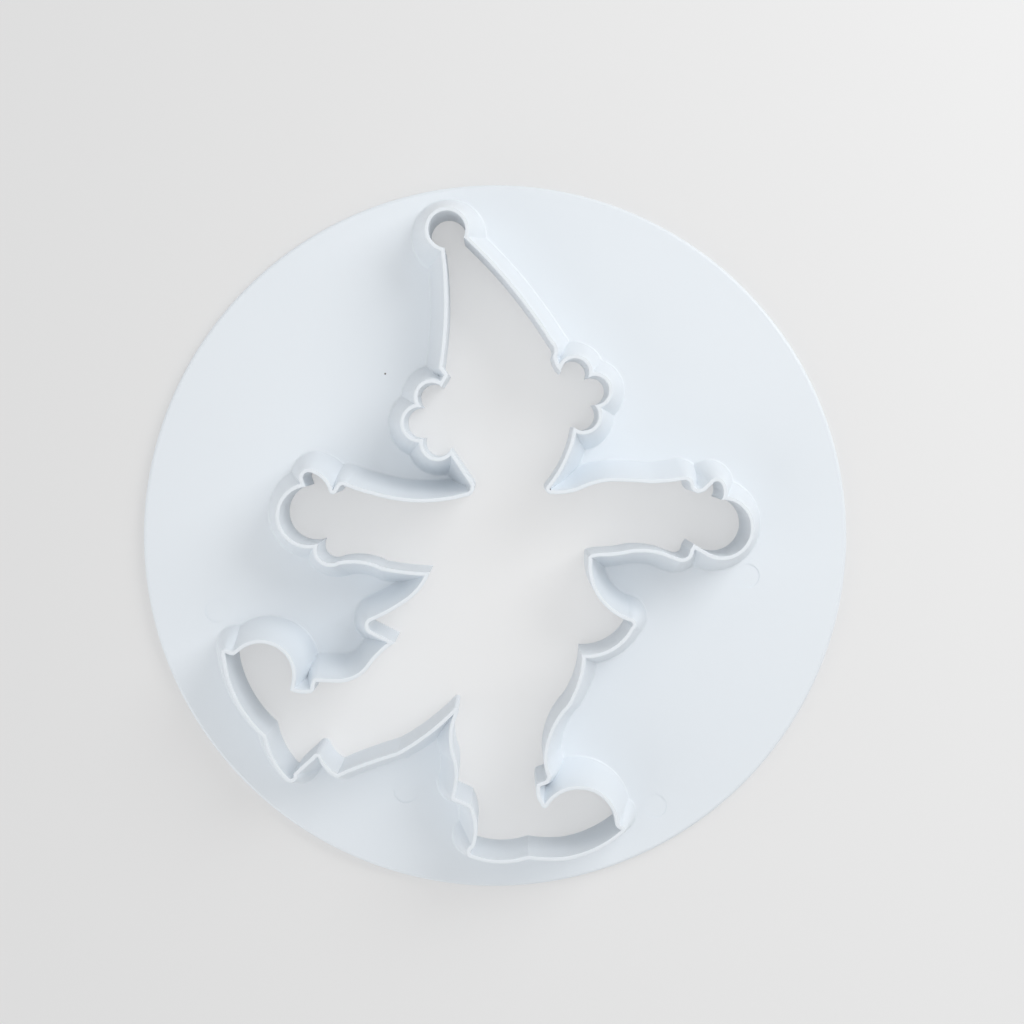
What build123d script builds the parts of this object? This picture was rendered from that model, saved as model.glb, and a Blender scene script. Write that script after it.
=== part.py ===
from build123d import *
import math
import os

# An open cutter for rolled dough and sugar paste, moulded in white plastic.
# A flat round plate has an opening shaped as a traditional clown in a pointed hat.
# A thin blade stands up all round the opening, with its cutting edge upwards.
# Plate and blade are one moulding. Here the blade is given in named lengths, one
# for each feature of the figure, which meet face to face and stand on the plate.
# The origin is at the plate's centre, on its underside, and +Y points to the hat.


# Driving sizes, in millimetres
FIGURE_HEIGHT = 103.0
FIGURE_RAISE = 0.65
END_MARGIN = 6.3
PLATE_THICKNESS = 1.8
PLATE_EDGE_BREAK = 0.4
BLADE_HEIGHT = 10.2
LAND_WIDTH = 0.6
FOOT_SPREAD = 2.5
PIN_MARK_DIAMETER = 3.9
PIN_MARK_DEPTH = 0.1
OVERRUN = 1.0

# Sizes that follow
PLATE_DIAMETER = FIGURE_HEIGHT + 2 * END_MARGIN
PLATE_RADIUS = PLATE_DIAMETER / 2
OVERALL_HEIGHT = PLATE_THICKNESS + BLADE_HEIGHT
FOOT_WIDTH = LAND_WIDTH + FOOT_SPREAD

# A turn below this many degrees needs no corner piece
SMOOTH_TURN_DEGREES = 0.05
# A cut can leave a crumb of a blade length, and a crumb is below this share of it
CRUMB_SHARE = 0.01

# The opening's outline, clockwise seen from above, as shares of the figure's height
# from the figure's middle, which lies a little above the plate's centre. A step of
# one point is a straight line to that point. A step of two points is an arc through
# the first to the second. Each feature starts where the one before it ends, and the
# pompom starts where the hat ends.
POMPOM_SHARES = (
    ((-0.087, 0.497), (-0.048, 0.461)),
)
HAT_RIGHT_SHARES = (
    ((0.021, 0.388), (0.084, 0.301)),
    ((0.089, 0.292), (0.087, 0.282)),
    ((0.090, 0.271), (0.100, 0.257)),
)
CURLS_RIGHT_SHARES = (
    ((0.123, 0.278), (0.141, 0.249)),
    ((0.173, 0.231), (0.151, 0.208)),
    ((0.152, 0.177), (0.119, 0.174)),
)
COLLAR_RIGHT_SHARES = (
    ((0.108, 0.134), (0.079, 0.085)),
    ((0.077, 0.078), (0.086, 0.072)),
)
SLEEVE_TOP_RIGHT_SHARES = (
    ((0.111, 0.073), (0.134, 0.080)),
    ((0.157, 0.088), (0.182, 0.091)),
    ((0.210, 0.090), (0.240, 0.088)),
    ((0.267, 0.090), (0.288, 0.093)),
)
THUMB_RIGHT_SHARES = (
    ((0.296, 0.090), (0.298, 0.084)),
    ((0.303, 0.076), (0.310, 0.073)),
    ((0.316, 0.074), (0.324, 0.080)),
    ((0.332, 0.087),),
    ((0.340, 0.091), (0.346, 0.086)),
    ((0.349, 0.075), (0.346, 0.063)),
)
MITT_RIGHT_SHARES = (
    ((0.391, 0.018), (0.321, -0.015)),
    ((0.304, -0.005),),
)
SLEEVE_UNDER_RIGHT_SHARES = (
    ((0.298, -0.014),),
    ((0.295, -0.023), (0.285, -0.027)),
    ((0.273, -0.023), (0.258, -0.017)),
    ((0.229, -0.012), (0.206, -0.013)),
    ((0.183, -0.017), (0.160, -0.018)),
    ((0.148, -0.020),),
    ((0.143, -0.023), (0.142, -0.029)),
)
COAT_RIGHT_SHARES = (
    ((0.144, -0.056), (0.153, -0.080)),
    ((0.174, -0.106), (0.205, -0.124)),
    ((0.210, -0.126), (0.208, -0.133)),
    ((0.184, -0.161), (0.133, -0.175)),
)
LEG_RIGHT_SHARES = (
    ((0.128, -0.211), (0.110, -0.253)),
    ((0.081, -0.301), (0.074, -0.339)),
    ((0.076, -0.353), (0.080, -0.366)),
    ((0.077, -0.371),),
    ((0.064, -0.376),),
)
SHOE_TOP_RIGHT_SHARES = (
    ((0.063, -0.393), (0.070, -0.409)),
    ((0.075, -0.414), (0.080, -0.412)),
    ((0.129, -0.385), (0.185, -0.439)),
    ((0.188, -0.445), (0.195, -0.448)),
)
SOLE_RIGHT_SHARES = (
    ((0.159, -0.473), (0.108, -0.490)),
    ((0.080, -0.491), (0.051, -0.488)),
    ((0.007, -0.495), (-0.035, -0.487)),
    ((-0.039, -0.483), (-0.035, -0.478)),
)
LEG_INNER_RIGHT_SHARES = (
    ((-0.032, -0.473),),
    ((-0.028, -0.444), (-0.037, -0.409)),
    ((-0.063, -0.397),),
    ((-0.058, -0.371), (-0.059, -0.342)),
    ((-0.066, -0.309), (-0.063, -0.281)),
    ((-0.057, -0.263),),
    ((-0.060, -0.258), (-0.066, -0.260)),
)
LEG_INNER_LEFT_SHARES = (
    ((-0.105, -0.295), (-0.152, -0.326)),
    ((-0.192, -0.339), (-0.234, -0.355)),
    ((-0.244, -0.360),),
)
SOLE_LEFT_SHARES = (
    ((-0.255, -0.352), (-0.268, -0.332)),
    ((-0.275, -0.328), (-0.283, -0.333)),
    ((-0.302, -0.350),),
    ((-0.312, -0.360),),
    ((-0.314, -0.367), (-0.320, -0.366)),
    ((-0.339, -0.339), (-0.352, -0.301)),
    ((-0.390, -0.254), (-0.411, -0.200)),
    ((-0.415, -0.172),),
)
SHOE_TOP_LEFT_SHARES = (
    ((-0.408, -0.175), (-0.402, -0.176)),
    ((-0.396, -0.172),),
    ((-0.332, -0.167), (-0.313, -0.214)),
    ((-0.316, -0.230),),
    ((-0.299, -0.235), (-0.283, -0.234)),
    ((-0.279, -0.230),),
    ((-0.278, -0.222),),
    ((-0.276, -0.217),),
)
LEG_LEFT_SHARES = (
    ((-0.250, -0.218),),
    ((-0.220, -0.214), (-0.196, -0.197)),
    ((-0.176, -0.173), (-0.154, -0.156)),
)
COAT_LEFT_SHARES = (
    ((-0.190, -0.138),),
    ((-0.195, -0.130), (-0.192, -0.124)),
    ((-0.165, -0.111), (-0.142, -0.097)),
    ((-0.116, -0.075), (-0.100, -0.048)),
)
SLEEVE_UNDER_LEFT_SHARES = (
    ((-0.141, -0.045), (-0.172, -0.040)),
    ((-0.210, -0.029), (-0.241, -0.031)),
    ((-0.261, -0.032), (-0.271, -0.023)),
    ((-0.273, -0.013), (-0.270, -0.003)),
)
MITT_LEFT_SHARES = (
    ((-0.330, 0.042), (-0.290, 0.083)),
)
THUMB_LEFT_SHARES = (
    ((-0.294, 0.095),),
    ((-0.291, 0.103), (-0.283, 0.105)),
    ((-0.266, 0.096), (-0.255, 0.079)),
    ((-0.249, 0.072), (-0.242, 0.076)),
    ((-0.238, 0.082),),
    ((-0.235, 0.085), (-0.230, 0.084)),
)
SLEEVE_TOP_LEFT_SHARES = (
    ((-0.207, 0.076), (-0.182, 0.069)),
    ((-0.112, 0.059), (-0.045, 0.068)),
)
COLLAR_LEFT_SHARES = (
    ((-0.033, 0.077), (-0.036, 0.093)),
    ((-0.068, 0.141),),
)
CURLS_LEFT_SHARES = (
    ((-0.090, 0.128), (-0.109, 0.157)),
    ((-0.139, 0.183), (-0.112, 0.204)),
    ((-0.112, 0.235), (-0.082, 0.235)),
    ((-0.071, 0.253),),
    ((-0.080, 0.265),),
)
HAT_LEFT_SHARES = (
    ((-0.072, 0.359), (-0.077, 0.445)),
)

# Each feature's name and its steps, in order round the opening
FEATURES = (
    ("pompom", POMPOM_SHARES),
    ("hat_right", HAT_RIGHT_SHARES),
    ("curls_right", CURLS_RIGHT_SHARES),
    ("collar_right", COLLAR_RIGHT_SHARES),
    ("sleeve_top_right", SLEEVE_TOP_RIGHT_SHARES),
    ("thumb_right", THUMB_RIGHT_SHARES),
    ("mitt_right", MITT_RIGHT_SHARES),
    ("sleeve_under_right", SLEEVE_UNDER_RIGHT_SHARES),
    ("coat_right", COAT_RIGHT_SHARES),
    ("leg_right", LEG_RIGHT_SHARES),
    ("shoe_top_right", SHOE_TOP_RIGHT_SHARES),
    ("sole_right", SOLE_RIGHT_SHARES),
    ("leg_inner_right", LEG_INNER_RIGHT_SHARES),
    ("leg_inner_left", LEG_INNER_LEFT_SHARES),
    ("sole_left", SOLE_LEFT_SHARES),
    ("shoe_top_left", SHOE_TOP_LEFT_SHARES),
    ("leg_left", LEG_LEFT_SHARES),
    ("coat_left", COAT_LEFT_SHARES),
    ("sleeve_under_left", SLEEVE_UNDER_LEFT_SHARES),
    ("mitt_left", MITT_LEFT_SHARES),
    ("thumb_left", THUMB_LEFT_SHARES),
    ("sleeve_top_left", SLEEVE_TOP_LEFT_SHARES),
    ("collar_left", COLLAR_LEFT_SHARES),
    ("curls_left", CURLS_LEFT_SHARES),
    ("hat_left", HAT_LEFT_SHARES),
)

# Where the mould's ejector pins left their round marks, as shares of the plate's radius
PIN_MARK_SHARES = (
    (-0.793, -0.201),
    (-0.258, -0.721),
    (0.718, -0.102),
    (0.457, -0.765),
)


def place(shares):
    """Gives an outline point's place from its shares of the figure's height."""
    return Vector(shares[0] * FIGURE_HEIGHT, shares[1] * FIGURE_HEIGHT + FIGURE_RAISE)


def trace_outline():
    """Draws the opening's edges, feature by feature, as lists of lines and arcs."""
    here = place(FEATURES[-1][1][-1][-1])
    traced = []
    for name, steps in FEATURES:
        edges = []
        for step in steps:
            points = [place(shares) for shares in step]
            if len(points) == 1:
                edges.append(Edge.make_line(here, points[0]))
            else:
                edges.append(Edge.make_three_point_arc(here, points[0], points[1]))
            here = points[-1]
        traced.append((name, edges))
    return traced


def outward_of(direction):
    """Gives the side of the outline that is away from the opening."""
    return Vector(-direction.Y, direction.X)


def section_face(plane, inner, side):
    """Draws the blade's section: an upright inner face, a flat land and a sloped back.

    The inner face is at the distance inner along the plane's X, and side says which
    way the back lies. A back that would pass the plane's origin is cut off there.
    """
    foot = inner + side * FOOT_WIDTH
    land = inner + side * LAND_WIDTH
    outline = [(inner, PLATE_THICKNESS), (foot, PLATE_THICKNESS), (land, OVERALL_HEIGHT)]
    if side < 0 and land < 0:
        outline = [(inner, PLATE_THICKNESS), (0, PLATE_THICKNESS), (0, OVERALL_HEIGHT)]
    elif side < 0 and foot < 0:
        cut_height = PLATE_THICKNESS - foot * BLADE_HEIGHT / FOOT_SPREAD
        outline = [(inner, PLATE_THICKNESS), (0, PLATE_THICKNESS), (0, cut_height)]
        outline.append((land, OVERALL_HEIGHT))
    outline.append((inner, OVERALL_HEIGHT))
    return Face(Wire.make_polygon([plane.from_local_coords(point) for point in outline]))


def blade_on_line(edge):
    """Runs the section along a straight step of the outline."""
    along = edge % 0
    plane = Plane(origin=edge @ 0, x_dir=outward_of(along), z_dir=along)
    return Solid.extrude(section_face(plane, 0, 1), along * edge.length)


def turned_section(centre, radial, inner, side, turn, degrees):
    """Turns the section about an upright axis, clockwise where turn is -1."""
    plane = Plane(origin=centre, x_dir=radial, z_dir=radial.cross(Vector(0, 0, 1)))
    axis = Axis(centre, (0, 0, turn))
    return Solid.revolve(section_face(plane, inner, side), degrees, axis)


def blade_on_arc(edge):
    """Turns the section about the centre of a round step of the outline."""
    centre = edge.arc_center
    radial = (edge @ 0) - centre
    side = 1 if outward_of(edge % 0).dot(radial) > 0 else -1
    degrees = math.degrees(edge.length / edge.radius)
    return turned_section(centre, radial.normalized(), edge.radius, side, -side, degrees)


def blade_at_corner(before, after):
    """Fills the fan behind a corner where the outline turns towards the opening."""
    first = before % 1
    second = after % 0
    turn = math.degrees(math.atan2(first.cross(second).Z, first.dot(second)))
    if turn > -SMOOTH_TURN_DEGREES:
        return []
    return [turned_section(before @ 1, outward_of(first), 0, 1, -1, -turn)]


def blade_length(edges, next_edge):
    """Joins the pieces of one feature's blade, with the corner at its end."""
    pieces = []
    for edge, after in zip(edges, edges[1:] + [next_edge]):
        is_line = edge.geom_type == GeomType.LINE
        pieces.append(blade_on_line(edge) if is_line else blade_on_arc(edge))
        pieces += blade_at_corner(edge, after)
    joined = pieces[0]
    for piece in pieces[1:]:
        joined = joined.fuse(piece)
    return joined


def without_crumbs(shape):
    """Keeps the solids of a blade length and drops any crumb that a cut left."""
    solids = shape.solids()
    whole = sum(solid.volume for solid in solids)
    return [solid for solid in solids if solid.volume > CRUMB_SHARE * whole]


def make_opening(traced):
    """Makes the opening's full-height prism, which clears the plate and the blade."""
    edges = [edge for name, run in traced for edge in run]
    floor = Face(Wire(edges)).moved(Location((0, 0, -OVERRUN)))
    return Solid.extrude(floor, Vector(0, 0, OVERALL_HEIGHT + 2 * OVERRUN))


def make_blades(traced, opening):
    """Makes every feature's length of blade, each cut where an earlier one stands."""
    blades = []
    for index, (name, edges) in enumerate(traced):
        next_edge = traced[(index + 1) % len(traced)][1][0]
        blade = blade_length(edges, next_edge).cut(opening)
        standing = [solid for other, solids in blades for solid in solids]
        if standing:
            blade = blade.cut(*standing)
        blades.append((name, without_crumbs(blade)))
    return blades


def make_plate(opening):
    """Makes the round plate, with broken edges, its opening and the pin marks."""
    plate = Cylinder(PLATE_RADIUS, PLATE_THICKNESS, align=(Align.CENTER, Align.CENTER, Align.MIN))
    plate = chamfer(plate.edges(), PLATE_EDGE_BREAK)
    mark = Cylinder(PIN_MARK_DIAMETER / 2, OVERRUN, align=(Align.CENTER, Align.CENTER, Align.MIN))
    floor_height = PLATE_THICKNESS - PIN_MARK_DEPTH
    for x_share, y_share in PIN_MARK_SHARES:
        plate -= Pos(x_share * PLATE_RADIUS, y_share * PLATE_RADIUS, floor_height) * mark
    return plate.cut(opening)


def write_part(name, shape):
    """Writes one named sub-part and prints its size."""
    shape.label = name
    export_step(shape, os.path.join("parts", name + ".step"))
    box = shape.bounding_box()
    print(name, len(shape.solids()), "solids", round(shape.volume, 2), "mm3", box.min, box.max)


os.makedirs("parts", exist_ok=True)
outline = trace_outline()
opening_prism = make_opening(outline)
write_part("base_plate", Compound(make_plate(opening_prism).solids()))
for feature, blade_solids in make_blades(outline, opening_prism):
    write_part("blade_" + feature, Compound(blade_solids))
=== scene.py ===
# %% [markdown]
# # An open cutter in white plastic
# The object is a round plate with a figure-shaped opening, and a thin blade that
# stands up all round the opening. It lies on a pale table with its cutting edge up.
# The script starts from the measured model, so every size is already set. What is
# left to make here is the look: the soft edges of a moulding, the satin of
# white plastic, the marks that the mould left, the table, the light and the camera.

# %% Load the measured model
import math

import bmesh
import bpy
from mathutils import Matrix, Vector
from mathutils.geometry import intersect_line_line_2d


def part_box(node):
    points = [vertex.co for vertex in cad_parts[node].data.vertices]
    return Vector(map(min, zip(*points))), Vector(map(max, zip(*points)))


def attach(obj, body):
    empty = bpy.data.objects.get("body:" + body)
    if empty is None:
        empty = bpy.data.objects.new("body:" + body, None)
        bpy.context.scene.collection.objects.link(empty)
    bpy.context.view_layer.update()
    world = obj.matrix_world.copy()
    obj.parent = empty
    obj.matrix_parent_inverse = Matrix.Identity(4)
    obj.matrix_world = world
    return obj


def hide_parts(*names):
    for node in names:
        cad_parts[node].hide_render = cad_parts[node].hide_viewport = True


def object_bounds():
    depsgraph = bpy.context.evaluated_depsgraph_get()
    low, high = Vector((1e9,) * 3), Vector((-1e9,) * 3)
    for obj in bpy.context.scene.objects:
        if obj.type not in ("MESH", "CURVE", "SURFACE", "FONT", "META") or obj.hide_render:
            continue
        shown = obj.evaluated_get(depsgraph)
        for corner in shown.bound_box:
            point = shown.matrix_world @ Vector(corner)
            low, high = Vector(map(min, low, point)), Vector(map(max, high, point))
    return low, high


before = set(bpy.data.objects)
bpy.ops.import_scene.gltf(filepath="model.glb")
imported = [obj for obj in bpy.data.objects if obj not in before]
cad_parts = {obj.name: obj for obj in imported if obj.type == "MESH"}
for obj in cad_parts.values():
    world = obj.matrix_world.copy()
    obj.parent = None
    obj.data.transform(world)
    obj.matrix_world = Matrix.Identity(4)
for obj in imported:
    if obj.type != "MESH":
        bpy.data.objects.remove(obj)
scene = bpy.context.scene
MILLIMETRE = 0.001
measured_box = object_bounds()
plate_low, plate_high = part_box("base_plate")
plate_radius = (plate_high.x - plate_low.x) / 2
plate_top = plate_high.z
rim_height = measured_box[1].z
print(len(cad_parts), "nodes; plate", round(plate_radius * 2 / MILLIMETRE, 1), "mm across")
print("plate top at", round(plate_top / MILLIMETRE, 2), "mm")
print("blade rim at", round(rim_height / MILLIMETRE, 2), "mm")

# %% [markdown]
# Blender keeps a picture's colours as they are written when the view is Standard.
# White plastic on a pale table has few tones, so nothing else may bend them.

# %% Keep colours as written
scene.view_settings.view_transform = "Standard"

# %% [markdown]
# ## White plastic
# The cutter is moulded in one go from a white plastic, faintly blue beside the
# table. Its surface is satin, with a soft gloss. Noise at three sizes gives it life:
# slow flow marks that change the gloss, a slow drift of tone, and a fine orange peel
# that bends reflections. Noise was chosen over a drawn pattern because it has no
# seam and no repeat. A few dark specks are caught in it, as in any cheap moulding.


# %% Helpers for a material's nodes
def add_node(tree, kind, **values):
    """Adds a node and sets each named input or setting."""
    node = tree.nodes.new(kind)
    for name, value in values.items():
        if name in node.inputs:
            node.inputs[name].default_value = value
        else:
            setattr(node, name, value)
    return node


def new_material(name):
    """Makes a material, and gives it with its node tree and its shader."""
    material = bpy.data.materials.new(name)
    material.use_nodes = True
    return material, material.node_tree, material.node_tree.nodes["Principled BSDF"]


def add_range(tree, value, start, end, low=0.0, high=1.0):
    """Maps a value between two ends to one between two others."""
    ends = {"From Min": start, "From Max": end, "To Min": low, "To Max": high}
    span = add_node(tree, "ShaderNodeMapRange", **ends)
    tree.links.new(value, span.inputs["Value"])
    return span


# %% Mix the white plastic
PLASTIC_IOR = 1.5
DARKER_WHITE, PALER_WHITE = (0.826, 0.876, 0.922, 1), (0.848, 0.893, 0.935, 1)
DRIFT_SCALE, FLOW_SCALE, PEEL_SCALE = 24.0, 40.0, 700.0
LEAST_ROUGH, MOST_ROUGH = 0.30, 0.42
PEEL_STRENGTH, PEEL_DEPTH = 0.05, 0.1 * MILLIMETRE
white_plastic, tree, shader = new_material("white_plastic")
shader.inputs["IOR"].default_value = PLASTIC_IOR
place = add_node(tree, "ShaderNodeTexCoord").outputs["Object"]

drift = add_node(tree, "ShaderNodeTexNoise", Scale=DRIFT_SCALE, Detail=2.0)
tones = add_node(tree, "ShaderNodeValToRGB")
tones.color_ramp.elements[0].color = DARKER_WHITE
tones.color_ramp.elements[1].color = PALER_WHITE
tree.links.new(place, drift.inputs["Vector"])
tree.links.new(drift.outputs["Fac"], tones.inputs["Fac"])

flow = add_node(tree, "ShaderNodeTexNoise", Scale=FLOW_SCALE, Detail=3.0, Distortion=0.6)
gloss = add_range(tree, flow.outputs["Fac"], 0, 1, LEAST_ROUGH, MOST_ROUGH)
tree.links.new(place, flow.inputs["Vector"])
tree.links.new(gloss.outputs["Result"], shader.inputs["Roughness"])

peel = add_node(tree, "ShaderNodeTexNoise", Scale=PEEL_SCALE, Detail=2.0)
bump = add_node(tree, "ShaderNodeBump", Strength=PEEL_STRENGTH, Distance=PEEL_DEPTH)
tree.links.new(place, peel.inputs["Vector"])
tree.links.new(peel.outputs["Fac"], bump.inputs["Height"])
tree.links.new(bump.outputs["Normal"], shader.inputs["Normal"])
print("roughness from", LEAST_ROUGH, "to", MOST_ROUGH)

# %% Add the specks
# Each speck is where it lies on the plate, and its radius, in millimetres
SPECKS = ((-18.0, 27.25, 0.20), (18.6, -6.45, 0.12), (-20.0, -37.35, 0.14))
SPECK_TONE = (0.10, 0.08, 0.07, 1)
colour = tones.outputs["Color"]
for across, along, speck_radius in SPECKS:
    gap = add_node(tree, "ShaderNodeVectorMath", operation="DISTANCE")
    gap.inputs[1].default_value = (across * MILLIMETRE, along * MILLIMETRE, plate_top)
    edge = speck_radius * MILLIMETRE
    near = add_range(tree, gap.outputs["Value"], edge, edge / 2)
    stain = add_node(tree, "ShaderNodeMixRGB", Color2=SPECK_TONE)
    tree.links.new(place, gap.inputs[0])
    tree.links.new(near.outputs["Result"], stain.inputs["Fac"])
    tree.links.new(colour, stain.inputs["Color1"])
    colour = stain.outputs["Color"]
tree.links.new(colour, shader.inputs["Base Color"])
print(len(tree.nodes), "nodes in the white plastic")

# %% [markdown]
# ## The opening's outline
# Everything follows the outline of the opening. It is read from the measured plate,
# as the edges between its flat underside and the opening's upright wall, and put in
# order by walking from point to point. The measured curves are short straight steps,
# so each step of a curved run gets one more point, which lies on the curve. Beside
# a sharp corner the points stand closer, because the blade changes fast there.

# %% Read the outline
SMOOTH_TURN = math.radians(12)
CORNER_STEPS = [size * MILLIMETRE for size in (0.12, 0.3, 0.6, 1.0, 1.6, 2.4, 3.4, 4.6)]
MERGE_GAP = 0.001 * MILLIMETRE
LEAST_STEP = 0.02 * MILLIMETRE
FACES_DOWN, NEARLY_UPRIGHT = -0.99, 0.1


def turn_at(points, index):
    """Gives how far a closed line turns at a point, to the left where positive."""
    before = points[index] - points[index - 1]
    after = points[(index + 1) % len(points)] - points[index]
    return math.atan2(before.cross(after), before.dot(after))


def read_outline():
    """Reads the opening's outline from the measured plate, clockwise from above."""
    shape = bmesh.new()
    shape.from_mesh(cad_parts["base_plate"].data)
    bmesh.ops.remove_doubles(shape, verts=shape.verts, dist=MERGE_GAP)
    shape.normal_update()
    links = {}
    for edge in shape.edges:
        low, high = sorted(face.normal.z for face in edge.link_faces)
        if low < FACES_DOWN and abs(high) < NEARLY_UPRIGHT:
            first, second = edge.verts
            links.setdefault(first, []).append(second)
            links.setdefault(second, []).append(first)
    start = next(iter(links))
    walked = [start, links[start][0]]
    while walked[-1] is not start:
        ahead = [corner for corner in links[walked[-1]] if corner is not walked[-2]]
        walked.append(ahead[0])
    points = [corner.co.xy.copy() for corner in walked[:-1]]
    shape.free()
    apart = [
        point for index, point in enumerate(points)
        if (point - points[index - 1]).length > LEAST_STEP
    ]
    area = sum(point.cross(apart[(index + 1) % len(apart)]) for index, point in enumerate(apart))
    return apart if area < 0 else apart[::-1]


def corner_points(here, there, turn, next_turn):
    """Gives the points to add on a straight step, closer together near its corners."""
    step = there - here
    spots = set()
    for size in CORNER_STEPS:
        if abs(turn) > SMOOTH_TURN and size < step.length - CORNER_STEPS[0]:
            spots.add(size / step.length)
        if abs(next_turn) > SMOOTH_TURN and size < step.length - CORNER_STEPS[0]:
            spots.add(1 - size / step.length)
    return [here + step * share for share in sorted(spots)]


def refine(points):
    """Adds a point amid each step of a curved run, and points beside sharp corners."""
    finer = []
    for index, point in enumerate(points):
        after = (index + 1) % len(points)
        turn, next_turn = turn_at(points, index), turn_at(points, after)
        finer.append(point)
        if turn * next_turn > 0 and max(abs(turn), abs(next_turn)) < SMOOTH_TURN:
            # An arc that turns by an angle rises tan(angle / 4) / 2 of its chord
            step = points[after] - point
            bulge = math.tan((turn + next_turn) / 2 / 4) / 2
            finer.append(point + step / 2 + Vector((step.y, -step.x)) * bulge)
        finer += corner_points(point, points[after], turn, next_turn)
    return finer


measured_outline = read_outline()
outline = refine(measured_outline)
around = sum((point - outline[index - 1]).length for index, point in enumerate(outline))
print(len(measured_outline), "points read,", len(outline), "after refining")
print("the outline is", round(around / MILLIMETRE), "mm long")

# %% [markdown]
# ## The blade
# The blade has one section all the way round: an upright inner wall, a narrow flat
# land as its cutting edge, and a back that slopes out to a wider foot. No moulded
# edge is knife-sharp, so the land's two edges are rounded, and the foot runs into
# the plate in a small hollow. The land falls a hundredth of a millimetre outwards,
# which is too little to see.

# %% Draw the blade's section
LAND_WIDTH = 0.6 * MILLIMETRE
FOOT_SPREAD = 2.5 * MILLIMETRE
LAND_ROUND = 0.10 * MILLIMETRE
LAND_FALL = 0.01 * MILLIMETRE
FOOT_HOLLOW = 0.40 * MILLIMETRE
FOOT_SINK = 0.02 * MILLIMETRE
SLOPE_STEPS = 6
ROUND_STEPS = 4


def arc(centre, radius, start, end):
    """Gives points on an arc between two angles in degrees."""
    spots = []
    for step in range(ROUND_STEPS + 1):
        angle = math.radians(start + (end - start) * step / ROUND_STEPS)
        across = centre[0] + radius * math.cos(angle)
        spots.append(Vector((across, centre[1] + radius * math.sin(angle))))
    return spots


lean = math.degrees(math.atan2(FOOT_SPREAD, rim_height - plate_top))
reach = math.tan(math.radians(90 - lean) / 2)
outer = LAND_WIDTH - LAND_ROUND * reach
foot = LAND_WIDTH + FOOT_SPREAD + FOOT_HOLLOW * reach
shoulder = rim_height - LAND_ROUND
over_land = arc((LAND_ROUND, shoulder), LAND_ROUND, 180, 90)
down_back = arc((outer, shoulder - LAND_FALL), LAND_ROUND, 90, lean)
into_plate = arc((foot, plate_top + FOOT_HOLLOW), FOOT_HOLLOW, 180 + lean, 270)
slope = [down_back[-1].lerp(into_plate[0], step / SLOPE_STEPS) for step in range(1, SLOPE_STEPS)]
into_plate[-1].y -= FOOT_SINK
section = [Vector((0, plate_top))] + over_land + down_back + slope + into_plate
print("the section has", len(section), "points and leans", round(lean, 1), "degrees")

# %% [markdown]
# A profile run along a curve pinches at sharp tips, so the blade is built face by
# face. The section is set up at every point of the outline, square to it. Where the
# outline turns sharply towards the opening, the section swings round the corner in a
# fan. Where it turns sharply the other way, two sections stand at one point, and the
# two backs run into each other. In a narrow gap, such as the one between the legs, a
# section stops before it would reach the opening on the other side.

# %% Run the section round the outline
FAN_STEP = math.radians(10)
SHARP_NOTCH = math.radians(90)
START_GAP = 0.02 * MILLIMETRE
END_GAP = 0.02 * MILLIMETRE
WELD_GAP = 0.0005 * MILLIMETRE


def stands(points, index):
    """Gives the outward directions in which the section stands at a point."""
    before = (points[index] - points[index - 1]).normalized()
    after = (points[(index + 1) % len(points)] - points[index]).normalized()
    turn = turn_at(points, index)
    first = Vector((-before.y, before.x))
    last = Vector((-after.y, after.x))
    if abs(turn) < SMOOTH_TURN:
        return [(first + last).normalized() / math.cos(turn / 2)]
    if turn > 0:
        return [first, last]
    steps = math.ceil(-turn / FAN_STEP)
    return [Matrix.Rotation(turn * step / steps, 2) @ first for step in range(steps + 1)]


def room(points, point, outward):
    """Gives how far a section can reach before it meets the outline again."""
    widest = section[-1].x
    start = point + outward * START_GAP
    end = point + outward * widest
    reaches = [widest]
    for index, near in enumerate(points):
        if (near - point).length < 2 * widest:
            met = intersect_line_line_2d(start, end, near, points[index - 1])
            if met:
                reaches.append((met - point).length / outward.length - END_GAP)
    return max(min(reaches), 0)


shape = bmesh.new()
rows = []
for index, point in enumerate(outline):
    for outward in stands(outline, index):
        sharp = turn_at(outline, index) > SHARP_NOTCH
        limit = 0 if sharp else room(outline, point, outward)
        spots = [point + outward * min(across, limit) for across, height in section]
        heights = [height for across, height in section]
        rows.append([shape.verts.new((*spot, height)) for spot, height in zip(spots, heights)])
for index, row in enumerate(rows):
    ahead = rows[(index + 1) % len(rows)]
    for step in range(len(section)):
        after = (step + 1) % len(section)
        shape.faces.new((row[step], ahead[step], ahead[after], row[after]))
bmesh.ops.remove_doubles(shape, verts=shape.verts, dist=WELD_GAP)
blade_mesh = bpy.data.meshes.new("blade")
shape.to_mesh(blade_mesh)
shape.free()
blade = bpy.data.objects.new("blade", blade_mesh)
scene.collection.objects.link(blade)
print(len(rows), "sections,", len(blade_mesh.polygons), "faces in the blade")

# %% [markdown]
# ## The plate
# The plate is a disc with rounded edges. It could be a revolved profile too, but a
# cylinder with a bevel is quicker to change. A prism with the opening's outline is
# cut out of it, and so are four shallow round pockets, where the mould's ejector
# pins pushed the part out. The disc's place is in its mesh.


# %% Shape the plate
def select_only(piece):
    """Makes one piece the only selected and active one."""
    bpy.ops.object.select_all(action="DESELECT")
    piece.select_set(True)
    bpy.context.view_layer.objects.active = piece


def cut(piece, cutter):
    """Cuts a cutter out of a piece, and removes the cutter."""
    select_only(piece)
    away = piece.modifiers.new("cut", "BOOLEAN")
    away.operation = "DIFFERENCE"
    away.solver = "MANIFOLD"
    away.object = cutter
    bpy.ops.object.modifier_apply(modifier=away.name)
    bpy.data.objects.remove(cutter)


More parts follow.
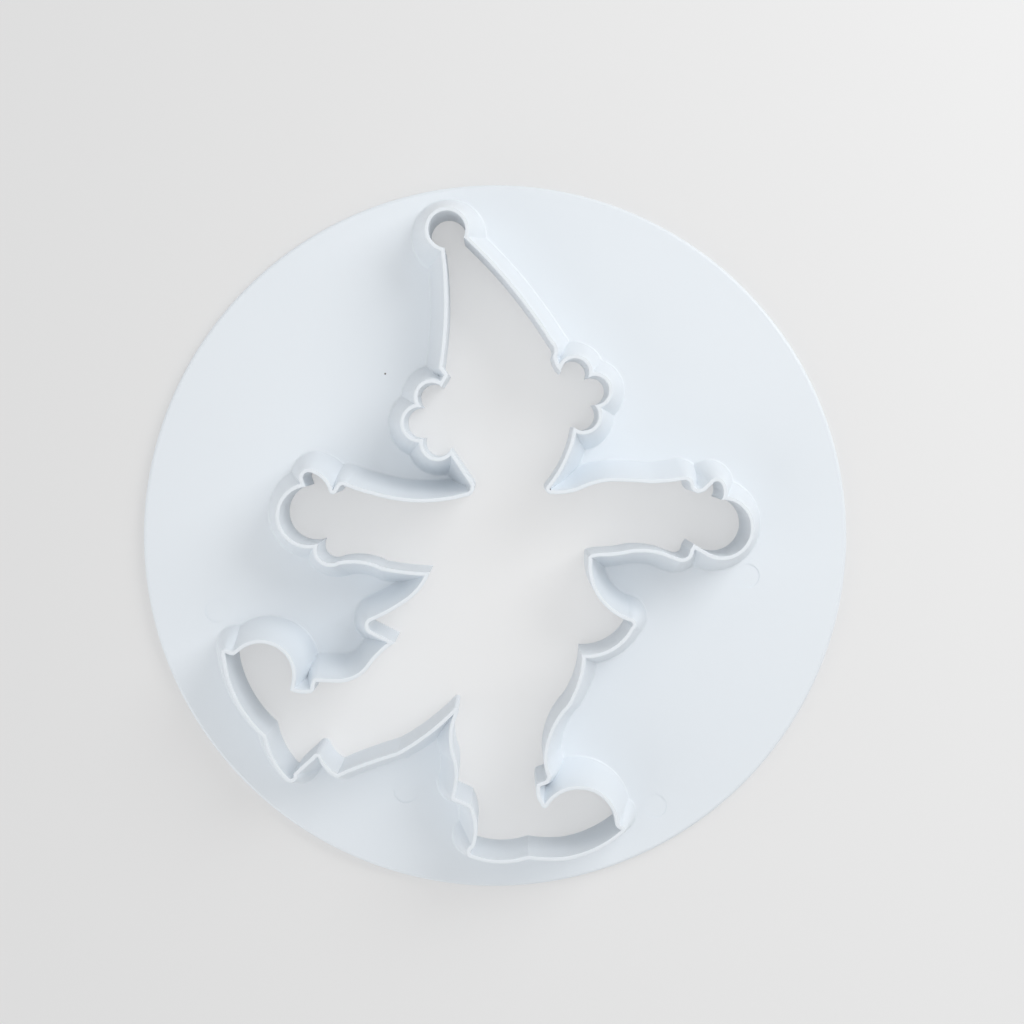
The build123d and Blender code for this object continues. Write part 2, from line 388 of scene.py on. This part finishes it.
def add_disc(name, radius, low, high, steps):
    """Adds an upright round piece between two heights, with its place in its mesh."""
    bpy.ops.object.select_all(action="DESELECT")
    bpy.ops.mesh.primitive_cylinder_add(
        vertices=steps, radius=radius, depth=high - low, location=(0, 0, (low + high) / 2)
    )
    bpy.ops.object.transform_apply(location=True, rotation=True, scale=True)
    disc = bpy.context.active_object
    disc.name = name
    disc.data.name = name
    return disc


PLATE_ROUND = 0.6 * MILLIMETRE
PLATE_STEPS, ROUND_FACES = 360, 5
plate = add_disc("plate", plate_radius, 0, plate_top, PLATE_STEPS)
bpy.ops.object.mode_set(mode="EDIT")
bpy.ops.mesh.select_mode(type="EDGE")
bpy.ops.mesh.select_all(action="DESELECT")
shape = bmesh.from_edit_mesh(plate.data)
for edge in shape.edges:
    edge.select_set(abs(edge.verts[0].co.z - edge.verts[1].co.z) < plate_top / 2)
bmesh.update_edit_mesh(plate.data)
bpy.ops.mesh.bevel(offset=PLATE_ROUND, segments=ROUND_FACES, profile=0.5, affect="EDGES")
bpy.ops.object.mode_set(mode="OBJECT")
print("plate", len(plate.data.polygons), "faces with its edges rounded")

# %% Cut the opening
low, high = -MILLIMETRE, plate_top + MILLIMETRE
shape = bmesh.new()
floor = [shape.verts.new((point.x, point.y, low)) for point in outline]
roof = [shape.verts.new((point.x, point.y, high)) for point in outline]
shape.faces.new(floor)
shape.faces.new(roof[::-1])
for index in range(len(outline)):
    shape.faces.new((floor[index - 1], roof[index - 1], roof[index], floor[index]))
bmesh.ops.recalc_face_normals(shape, faces=shape.faces)
prism_mesh = bpy.data.meshes.new("prism")
shape.to_mesh(prism_mesh)
shape.free()
prism = bpy.data.objects.new("prism", prism_mesh)
scene.collection.objects.link(prism)
cut(plate, prism)
print("plate", len(plate.data.polygons), "faces with its opening")

# %% Sink the pin marks
# Each mark is where it lies, in shares of the plate's radius
PIN_MARKS = ((-0.793, -0.201), (-0.258, -0.721), (0.718, -0.102), (0.457, -0.765))
MARK_RADIUS = 1.95 * MILLIMETRE
MARK_DEPTH = 0.1 * MILLIMETRE
MARK_STEPS = 48
mark_floor = plate_top - MARK_DEPTH
for across, along in PIN_MARKS:
    mark = add_disc("mark", MARK_RADIUS, mark_floor, plate_top + MILLIMETRE, MARK_STEPS)
    mark.location = (across * plate_radius, along * plate_radius, 0)
    cut(plate, mark)
print("plate", len(plate.data.polygons), "faces with its pin marks")

# %% [markdown]
# Faces that meet at a small angle are shaded as one smooth surface. The normals are
# weighted by the faces' sizes, so that the flat faces look flat right up to their
# rounded edges.

# %% Shade and place both pieces
SMOOTH_SHADE = math.radians(28)
blade_names = sorted(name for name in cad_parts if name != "base_plate")
for piece, names in ((plate, ["base_plate"]), (blade, blade_names)):
    piece.data.materials.clear()
    piece.data.materials.append(white_plastic)
    select_only(piece)
    bpy.ops.object.shade_smooth_by_angle(angle=SMOOTH_SHADE)
    even = piece.modifiers.new("even_normals", "WEIGHTED_NORMAL")
    even.keep_sharp = True
    bpy.ops.object.modifier_apply(modifier=even.name)
    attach(piece, "root")
    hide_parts(*names)
    print(piece.name, "stands for", len(names), "measured pieces")

# %% [markdown]
# ## Table, light and camera
# The table is one pale plane. The photograph's light is broad and soft, and comes
# from all round. A window to the upper right makes the faces that look that way
# almost white. The window is near, so the table darkens towards the left. A broad
# light low on the other side stands for a pale wall, and lifts the shades. The real
# table stays pale deep in the opening, perhaps because thin plastic lets light
# through. So a part of what the camera sees of the table is painted light, a glow:
# paler under the cutter, as light through the plastic, and a painted falloff to the
# left outside it. The rest is lit, and keeps the shadow.

# %% Lay the table
TABLE_WIDTH = 3.0
TABLE_TONE = (0.84, 0.84, 0.84, 1)
TABLE_ROUGHNESS = 0.6
bpy.ops.object.select_all(action="DESELECT")
bpy.ops.mesh.primitive_plane_add(size=TABLE_WIDTH, location=(0, 0, 0))
table = bpy.context.active_object
table.name = "table"
table_paint, tree, shader = new_material("table_paint")
shader.inputs["Base Color"].default_value = TABLE_TONE
shader.inputs["Roughness"].default_value = TABLE_ROUGHNESS
table.data.materials.append(table_paint)
print("the table is", round(table.dimensions.x, 1), "m wide")

# %% Find the painted light's tone at each place
# Painted light: the glow is paler under the cutter, and it falls off to the left outside it
PAINTED_FALLOFF_LEFT, PAINTED_FALLOFF_RIGHT, PAINTED_GLOW_UNDER = 0.71, 0.86, 0.95
TONE_SPREAD, UNDER_SHARE = 0.08, 0.9
spot = add_node(tree, "ShaderNodeTexCoord").outputs["Object"]
sides = add_node(tree, "ShaderNodeSeparateXYZ")
from_middle = add_node(tree, "ShaderNodeVectorMath", operation="LENGTH")
tree.links.new(spot, sides.inputs[0])
tree.links.new(spot, from_middle.inputs[0])
across = sides.outputs["X"]
outside = add_range(tree, across, -TONE_SPREAD, TONE_SPREAD, PAINTED_FALLOFF_LEFT, PAINTED_FALLOFF_RIGHT)
away = from_middle.outputs["Value"]
under = add_range(tree, away, plate_radius, plate_radius * UNDER_SHARE, high=PAINTED_GLOW_UNDER)
tree.links.new(outside.outputs["Result"], under.inputs["To Min"])
# An emission that paints light onto the table, though it is no lamp
painted_light_glow = add_node(tree, "ShaderNodeEmission", Color=(1, 1, 1, 1))
tree.links.new(under.outputs["Result"], painted_light_glow.inputs["Strength"])
print("set tone", PAINTED_FALLOFF_LEFT, "to", PAINTED_FALLOFF_RIGHT, "outside, and", PAINTED_GLOW_UNDER, "under")

# %% Blend the painted light into what the camera sees
# The share of painted light in what the camera sees of the table
PAINTED_LIGHT_PART = 0.4
seen = add_node(tree, "ShaderNodeLightPath")
direct = add_node(tree, "ShaderNodeMath", operation="MAXIMUM")
through = add_node(tree, "ShaderNodeMath", operation="MAXIMUM")
part = add_node(tree, "ShaderNodeMath", operation="MULTIPLY")
part.inputs[1].default_value = PAINTED_LIGHT_PART
blend = add_node(tree, "ShaderNodeMixShader")
tree.links.new(seen.outputs["Is Camera Ray"], direct.inputs[0])
tree.links.new(seen.outputs["Is Glossy Ray"], direct.inputs[1])
tree.links.new(direct.outputs[0], through.inputs[0])
tree.links.new(seen.outputs["Is Transmission Ray"], through.inputs[1])
tree.links.new(through.outputs[0], part.inputs[0])
tree.links.new(part.outputs[0], blend.inputs["Fac"])
tree.links.new(shader.outputs[0], blend.inputs[1])
tree.links.new(painted_light_glow.outputs[0], blend.inputs[2])
tree.links.new(blend.outputs[0], tree.nodes["Material Output"].inputs["Surface"])
print(PAINTED_LIGHT_PART, "of what the camera sees of the table is the set tone")

# %% Hang the lights
ROOM_TONE, ROOM_STRENGTH = (1.0, 1.0, 1.0, 1), 0.53
world = bpy.data.worlds.new("room")
scene.world = world
world.use_nodes = True
sky = world.node_tree.nodes["Background"]
sky.inputs["Color"].default_value = ROOM_TONE
sky.inputs["Strength"].default_value = ROOM_STRENGTH


def soft_box(name, place, size, watts):
    """Hangs a square soft light at a place, turned to the table's middle."""
    light = bpy.data.lights.new(name, "AREA")
    light.size = size
    light.energy = watts
    lamp = bpy.data.objects.new(name, light)
    scene.collection.objects.link(lamp)
    lamp.location = place
    ray = -Vector(place)
    lamp.rotation_euler = ray.to_track_quat("-Z", "Y").to_euler()
    print(name, "of", watts, "W,", round(ray.length, 2), "m away")


soft_box("ceiling", place=(0.02, 0.02, 1.2), size=0.5, watts=1.3)
soft_box("window", place=(0.31, 0.27, 0.29), size=0.30, watts=1.03)
soft_box("wall", place=(-0.50, -0.35, 0.18), size=0.8, watts=1.6)

# %% [markdown]
# The camera looks down from a quarter of a metre, almost square to the table. How
# far the blade's edge shifts against its foot depends on the blade's height and on
# the camera's distance together, so the distance was chosen to suit the height. The
# lens then sets how large the plate is in the picture.

# %% Set up the camera
CAMERA_PLACE = (0.00075, 0.01885, 0.252)
CAMERA_AIM = (0.0027, 0.00455, 0)
SENSOR_WIDTH, LENS = 36.0, 53.7
lens_data = bpy.data.cameras.new("camera")
lens_data.sensor_width = SENSOR_WIDTH
lens_data.lens = LENS
camera = bpy.data.objects.new("camera", lens_data)
scene.collection.objects.link(camera)
camera.location = CAMERA_PLACE
view_line = (Vector(CAMERA_AIM) - camera.location).normalized()
right = view_line.cross(Vector((0, 1, 0))).normalized()
upward = right.cross(view_line).normalized()
camera.rotation_mode = "QUATERNION"
camera.rotation_quaternion = Matrix((right, upward, -view_line)).transposed().to_quaternion()
scene.camera = camera
print("the camera is", round(camera.location.z, 3), "m over the table")
